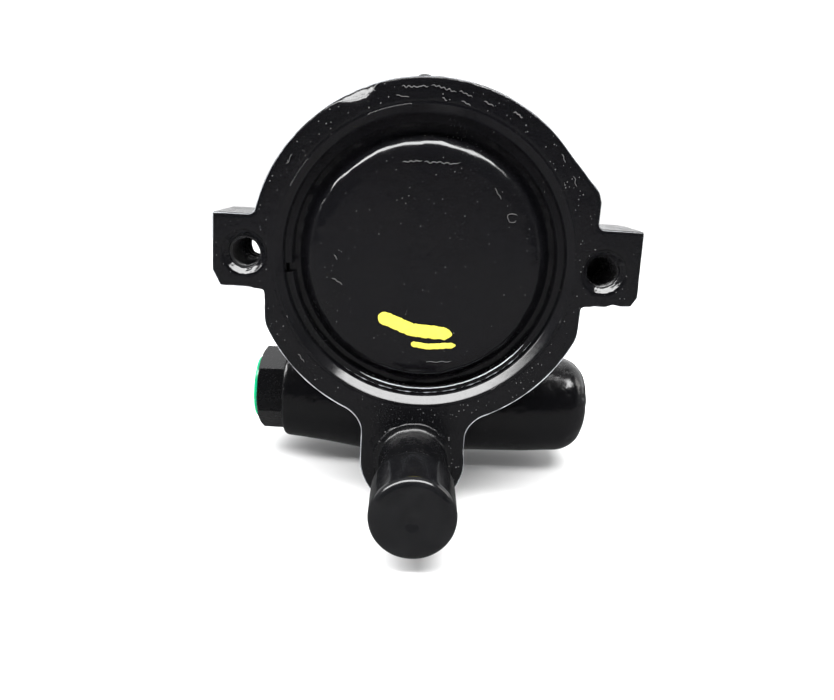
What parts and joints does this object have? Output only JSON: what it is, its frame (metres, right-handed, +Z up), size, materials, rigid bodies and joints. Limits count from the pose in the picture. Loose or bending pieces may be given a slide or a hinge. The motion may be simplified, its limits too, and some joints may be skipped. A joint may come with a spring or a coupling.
{
  "type": "hydraulic vane pump",
  "caption": "Round cast hydraulic vane pump with threaded side ears, a capped inlet tube, a cross-bored flow control valve with plugged outlet fitting, and a plain drive shaft.",
  "frame": {"origin": "on the shaft axis, in the plane of the front mounting face", "axes": "+Y out along the drive shaft, +Z up, the end cover faces -Y and the inlet neck hangs towards -Z"},
  "size_m": [0.1152, 0.1595, 0.1224],
  "materials": {
    "cast_paint": "gloss black enamel over a sand casting",
    "cover_paint": "gloss black enamel over a pressed and turned cover",
    "ring_paint": "gloss black enamel on spring steel",
    "tube_paint": "gloss black enamel on drawn tube",
    "fitting_paint": "gloss black enamel on machined steel",
    "shaft_steel": "ground steel with a light oil film",
    "ground_steel": "ground and hardened",
    "sintered_steel": "sintered, lapped faces",
    "spring_steel": "oil-tempered wire",
    "bronze": "steel-backed bronze",
    "seal_case": "pressed steel",
    "rubber": "nitrile",
    "vinyl_cap": "glossy dipped vinyl",
    "green_plastic": "translucent moulded plastic"
  },
  "bodies": {
    "pump_body": {"housing": "cast_paint", "end_cover": "cover_paint", "retaining_ring": "ring_paint", "end_cover_oring": "rubber", "plate_spring": "spring_steel", "pressure_plate": "sintered_steel", "pressure_plate_oring": "rubber", "cam_ring": "ground_steel", "thrust_plate": "sintered_steel", "dowel_pins": "ground_steel", "shaft_bushing": "bronze", "seal_case": "seal_case", "seal_lip": "rubber", "seal_garter_spring": "spring_steel", "outlet_fitting": "fitting_paint", "fitting_oring": "rubber", "pilot_line_ball": "ground_steel", "inlet_tube": "tube_paint", "control_spring": "spring_steel"},
    "rotating_group": {"drive_shaft": "shaft_steel", "rotor": "ground_steel", "rotor_snap_ring": "spring_steel"},
    "spool_body": {"control_spool": "ground_steel", "relief_plug": "ground_steel", "relief_spring": "spring_steel"},
    "relief_body": {"relief_ball": "ground_steel", "relief_guide": "ground_steel"},
    "inlet_cap_body": {"inlet_cap": "vinyl_cap"},
    "outlet_plug_body": {"outlet_plug": "green_plastic"},
    "vane_01_body": {"vane_01": "ground_steel"},
    "vane_02_body": {"vane_02": "ground_steel"},
    "vane_03_body": {"vane_03": "ground_steel"},
    "vane_04_body": {"vane_04": "ground_steel"},
    "vane_05_body": {"vane_05": "ground_steel"},
    "vane_06_body": {"vane_06": "ground_steel"},
    "vane_07_body": {"vane_07": "ground_steel"},
    "vane_08_body": {"vane_08": "ground_steel"},
    "vane_09_body": {"vane_09": "ground_steel"},
    "vane_10_body": {"vane_10": "ground_steel"}
  },
  "joints": [
    {"name": "shaft_spin", "type": "hinge", "parent": "pump_body", "child": "rotating_group", "pos_m": [0, 0, 0], "axis": [0, 1, 0], "continuous": true},
    {"name": "vane_01_slide", "type": "slide", "parent": "rotating_group", "child": "vane_01_body", "axis": [0.9511, 0, 0.309], "range_m": [0, 0.00058]},
    {"name": "vane_02_slide", "type": "slide", "parent": "rotating_group", "child": "vane_02_body", "axis": [0.5878, 0, 0.809], "range_m": [0, 0.00232]},
    {"name": "vane_03_slide", "type": "slide", "parent": "rotating_group", "child": "vane_03_body", "axis": [0, 0, 1], "range_m": [0, 0.00353]},
    {"name": "vane_04_slide", "type": "slide", "parent": "rotating_group", "child": "vane_04_body", "axis": [-0.5878, 0, 0.809], "range_m": [0, 0.00232]},
    {"name": "vane_05_slide", "type": "slide", "parent": "rotating_group", "child": "vane_05_body", "axis": [-0.9511, 0, 0.309], "range_m": [0, 0.00058]},
    {"name": "vane_06_slide", "type": "slide", "parent": "rotating_group", "child": "vane_06_body", "axis": [-0.9511, 0, -0.309], "range_m": [0, 0.00058]},
    {"name": "vane_07_slide", "type": "slide", "parent": "rotating_group", "child": "vane_07_body", "axis": [-0.5878, 0, -0.809], "range_m": [0, 0.00232]},
    {"name": "vane_08_slide", "type": "slide", "parent": "rotating_group", "child": "vane_08_body", "axis": [0, 0, -1], "range_m": [0, 0.00353]},
    {"name": "vane_09_slide", "type": "slide", "parent": "rotating_group", "child": "vane_09_body", "axis": [0.5878, 0, -0.809], "range_m": [0, 0.00232]},
    {"name": "vane_10_slide", "type": "slide", "parent": "rotating_group", "child": "vane_10_body", "axis": [0.9511, 0, -0.309], "range_m": [0, 0.00058]},
    {"name": "spool_slide", "type": "slide", "parent": "pump_body", "child": "spool_body", "axis": [1, 0, 0], "range_m": [0, 0.008], "stiffness_N_per_m": 4000, "springref_m": -0.006, "deforming": ["control_spring"]},
    {"name": "relief_slide", "type": "slide", "parent": "spool_body", "child": "relief_body", "axis": [-1, 0, 0], "range_m": [0, 0.001], "stiffness_N_per_m": 9000, "springref_m": -0.003, "deforming": ["relief_spring"]},
    {"name": "inlet_cap_pull", "type": "slide", "parent": "pump_body", "child": "inlet_cap_body", "axis": [0, -1, 0], "range_m": [0, 0.03]},
    {"name": "outlet_plug_pull", "type": "slide", "parent": "pump_body", "child": "outlet_plug_body", "axis": [-1, 0, 0], "range_m": [0, 0.03]}
  ]
}
